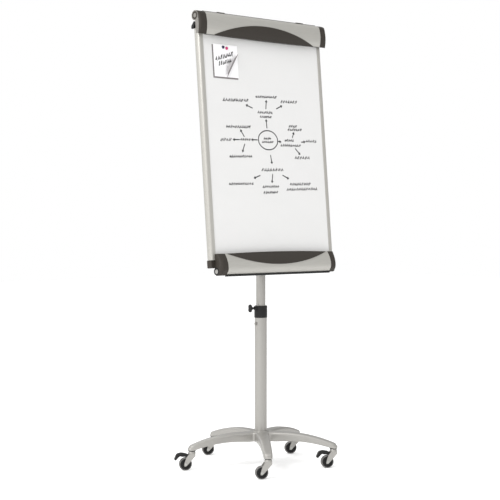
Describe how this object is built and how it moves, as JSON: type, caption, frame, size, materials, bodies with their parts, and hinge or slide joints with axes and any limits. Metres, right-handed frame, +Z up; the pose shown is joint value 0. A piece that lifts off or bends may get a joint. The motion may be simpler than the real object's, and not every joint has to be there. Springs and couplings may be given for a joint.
{
  "type": "rolling whiteboard",
  "caption": "Mobile presentation easel: a tilted steel writing board with a hinged pad clamp and pen tray on a two-stage column and a caster base.",
  "frame": {"origin": "on the floor, under the middle of the bounding box at rest", "axes": "+X towards the board's right as its user faces it, -Y the way the writing face looks, +Z up"},
  "size_m": [0.6958, 0.5972, 1.8274],
  "materials": {
    "frame_silver": "fine satin silver lacquer",
    "extruded_silver": "satin anodised extrusion with faint draw lines",
    "dark_trim": "fine moulded grain, dark warm grey",
    "black_plastic": "satin moulded",
    "white_enamel": "gloss writing enamel",
    "plain_steel": "zinc plated",
    "core_board": "fibreboard",
    "grey_rubber": "soft grey rubber",
    "caster_tyre": "dark hub with a grey tread",
    "note_paper": "uncoated paper",
    "magnet_blue": "gloss moulded",
    "magnet_pink": "gloss moulded"
  },
  "bodies": {
    "base": {"base_star": "frame_silver", "base_bolt": "plain_steel", "lower_column": "frame_silver", "column_bush": "black_plastic", "column_collar": "black_plastic"},
    "button": {"lock_button": "plain_steel"},
    "shoe": {"clamp_shoe": "grey_rubber"},
    "clamp_knob": {"clamp_knob": "black_plastic"},
    "slider": {"column_foot_bush": "black_plastic"},
    "column": {"upper_column": "frame_silver", "tilt_head": "frame_silver"},
    "board": {"writing_sheet": "white_enamel", "board_core": "core_board", "back_sheet": "frame_silver", "side_rail_left": "extruded_silver", "side_rail_right": "extruded_silver", "top_rail": "extruded_silver", "bottom_rail": "extruded_silver", "rail_top_plug_left": "black_plastic", "rail_top_plug_right": "black_plastic", "rail_foot_plug_left": "dark_trim", "rail_foot_plug_right": "dark_trim", "rear_beam": "extruded_silver", "pivot_bracket": "frame_silver", "tilt_bolt": "plain_steel", "clamp_rod": "plain_steel", "tray_body": "extruded_silver", "tray_inlay": "dark_trim", "tray_lip": "black_plastic", "tray_end_cap_left": "dark_trim", "tray_end_cap_right": "dark_trim", "paper_note": "note_paper"},
    "tilt_knob": {"tilt_knob": "black_plastic"},
    "clamp": {"clamp_bar": "extruded_silver", "clamp_inlay": "dark_trim", "clamp_grip_strip": "grey_rubber", "clamp_end_cap_left": "dark_trim", "clamp_end_cap_right": "dark_trim"},
    "peg_left": {"peg_left": "dark_trim"},
    "peg_right": {"peg_right": "dark_trim"},
    "magnet_blue": {"magnet_blue": "magnet_blue"},
    "magnet_pink": {"magnet_pink": "magnet_pink"},
    "fork_right": {"caster_fork_right": "frame_silver", "caster_axle_right": "plain_steel"},
    "wheel_right": {"caster_wheel_right": "caster_tyre"},
    "fork_rear": {"caster_fork_rear": "frame_silver", "caster_axle_rear": "plain_steel"},
    "wheel_rear": {"caster_wheel_rear": "caster_tyre"},
    "fork_left": {"caster_fork_left": "frame_silver", "caster_axle_left": "plain_steel"},
    "wheel_left": {"caster_wheel_left": "caster_tyre"},
    "pedal_left": {"brake_pedal_left": "black_plastic"},
    "fork_front_left": {"caster_fork_front_left": "frame_silver", "caster_axle_front_left": "plain_steel"},
    "wheel_front_left": {"caster_wheel_front_left": "caster_tyre"},
    "fork_front_right": {"caster_fork_front_right": "frame_silver", "caster_axle_front_right": "plain_steel"},
    "wheel_front_right": {"caster_wheel_front_right": "caster_tyre"},
    "pedal_front_right": {"brake_pedal_front_right": "black_plastic"}
  },
  "joints": [
    {"name": "height", "type": "slide", "parent": "base", "child": "slider", "axis": [0, 0, 1], "range_m": [-0.102, 0.133]},
    {"name": "column_turn", "type": "hinge", "parent": "slider", "child": "column", "pos_m": [0.00486, -0.03596, 0.3], "axis": [0, 0, 1], "continuous": true},
    {"name": "tilt", "type": "hinge", "parent": "column", "child": "board", "pos_m": [0.00486, -0.03596, 1.11], "axis": [-1, 0, 0], "range_deg": [-5.17, 30]},
    {"name": "tilt_knob_turn", "type": "hinge", "parent": "board", "child": "tilt_knob", "pos_m": [0.02686, -0.03596, 1.11], "axis": [1, 0, 0], "range_deg": [0, 540]},
    {"name": "clamp_open", "type": "hinge", "parent": "board", "child": "clamp", "pos_m": [0.00486, -0.03638, 1.801], "axis": [-1, 0, 0], "range_deg": [0, 35], "stiffness_Nm_per_rad": 1.2, "springref_deg": -68.75},
    {"name": "peg_left_slide", "type": "slide", "parent": "clamp", "child": "peg_left", "axis": [1, 0, 0], "range_m": [-0.07, 0.09]},
    {"name": "peg_right_slide", "type": "slide", "parent": "clamp", "child": "peg_right", "axis": [1, 0, 0], "range_m": [-0.09, 0.07]},
    {"name": "magnet_blue_pull", "type": "slide", "parent": "board", "child": "magnet_blue", "axis": [0, -0.9959, 0.0901], "range_m": [0, 0.03]},
    {"name": "magnet_pink_pull", "type": "slide", "parent": "board", "child": "magnet_pink", "axis": [0, -0.9959, 0.0901], "range_m": [0, 0.03]},
    {"name": "button_pull", "type": "slide", "parent": "base", "child": "button", "axis": [-1, 0, 0], "range_m": [0, 0.006], "stiffness_N_per_m": 900, "springref_m": -0.003},
    {"name": "shoe_slide", "type": "slide", "parent": "base", "child": "shoe", "axis": [-1, 0, 0], "range_m": [0, 0.003]},
    {"name": "clamp_knob_turn", "type": "hinge", "parent": "shoe", "child": "clamp_knob", "pos_m": [-0.05314, -0.03596, 0.6435], "axis": [-1, 0, 0], "range_deg": [0, 720]},
    {"name": "swivel_right", "type": "hinge", "parent": "base", "child": "fork_right", "pos_m": [0.29151, 0.05718, 0.08], "axis": [0, 0, 1], "continuous": true},
    {"name": "roll_right", "type": "hinge", "parent": "fork_right", "child": "wheel_right", "pos_m": [0.26899, 0.07018, 0.026], "axis": [-0.5, -0.866, 0], "continuous": true},
    {"name": "swivel_rear", "type": "hinge", "parent": "base", "child": "fork_rear", "pos_m": [0.00486, 0.26544, 0.08], "axis": [0, 0, 1], "continuous": true},
    {"name": "roll_rear", "type": "hinge", "parent": "fork_rear", "child": "wheel_rear", "pos_m": [-0.01766, 0.27844, 0.026], "axis": [-0.5, -0.866, 0], "continuous": true},
    {"name": "swivel_left", "type": "hinge", "parent": "base", "child": "fork_left", "pos_m": [-0.28179, 0.05718, 0.08], "axis": [0, 0, 1], "continuous": true},
    {"name": "roll_left", "type": "hinge", "parent": "fork_left", "child": "wheel_left", "pos_m": [-0.3043, 0.07018, 0.026], "axis": [-0.5, -0.866, 0], "continuous": true},
    {"name": "brake_left", "type": "hinge", "parent": "fork_left", "child": "pedal_left", "pos_m": [-0.29868, 0.06693, 0.061], "axis": [-0.5, -0.866, 0], "range_deg": [0, 9]},
    {"name": "swivel_front_left", "type": "hinge", "parent": "base", "child": "fork_front_left", "pos_m": [-0.1723, -0.2798, 0.08], "axis": [0, 0, 1], "continuous": true},
    {"name": "roll_front_left", "type": "hinge", "parent": "fork_front_left", "child": "wheel_front_left", "pos_m": [-0.19481, -0.2668, 0.026], "axis": [-0.5, -0.866, 0], "continuous": true},
    {"name": "swivel_front_right", "type": "hinge", "parent": "base", "child": "fork_front_right", "pos_m": [0.18202, -0.2798, 0.08], "axis": [0, 0, 1], "continuous": true},
    {"name": "roll_front_right", "type": "hinge", "parent": "fork_front_right", "child": "wheel_front_right", "pos_m": [0.1595, -0.2668, 0.026], "axis": [-0.5, -0.866, 0], "continuous": true},
    {"name": "brake_front_right", "type": "hinge", "parent": "fork_front_right", "child": "pedal_front_right", "pos_m": [0.16513, -0.27005, 0.061], "axis": [-0.5, -0.866, 0], "range_deg": [0, 9]}
  ],
  "couplings": [
    {"joint": "clamp_knob_turn", "follows": "shoe_slide", "rad_per_m": 4188.7}
  ]
}
